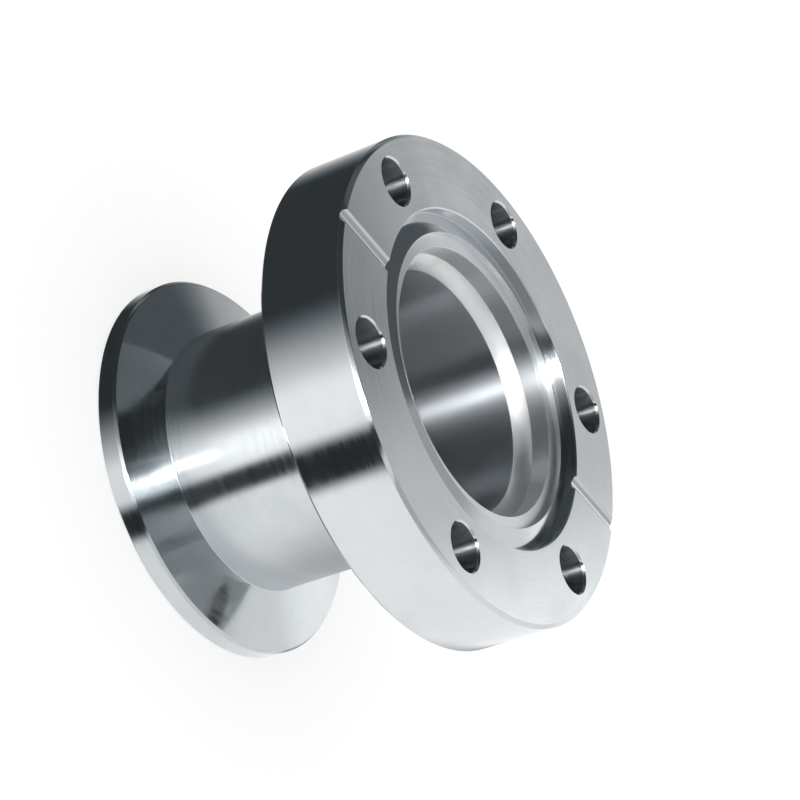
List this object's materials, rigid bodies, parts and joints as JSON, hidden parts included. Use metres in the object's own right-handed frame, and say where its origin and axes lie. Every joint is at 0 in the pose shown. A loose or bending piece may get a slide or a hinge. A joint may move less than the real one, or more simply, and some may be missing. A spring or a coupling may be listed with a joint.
{
  "type": "vacuum flange adapter",
  "caption": "Straight stainless steel vacuum adapter: a bolted knife-edge flange welded to a short tube with a clamp flange at its other end.",
  "frame": {"origin": "centre of the clamp flange's sealing face, which the part stands on", "axes": "+Z along the bore's axis, up towards the knife-edge flange; the two leak-check grooves lie along +Y and -Y, and two bolt holes along +X and -X"},
  "size_m": [0.0698, 0.0698, 0.045],
  "materials": {
    "flange_steel": "fine turned and polished stainless steel",
    "stub_steel": "turned and polished stainless steel",
    "weld_steel": "bright fused weld, lightly rippled"
  },
  "bodies": {
    "root": {"cf_flange": "flange_steel", "kf_stub": "stub_steel", "weld_bead": "weld_steel"}
  },
  "joints": []
}
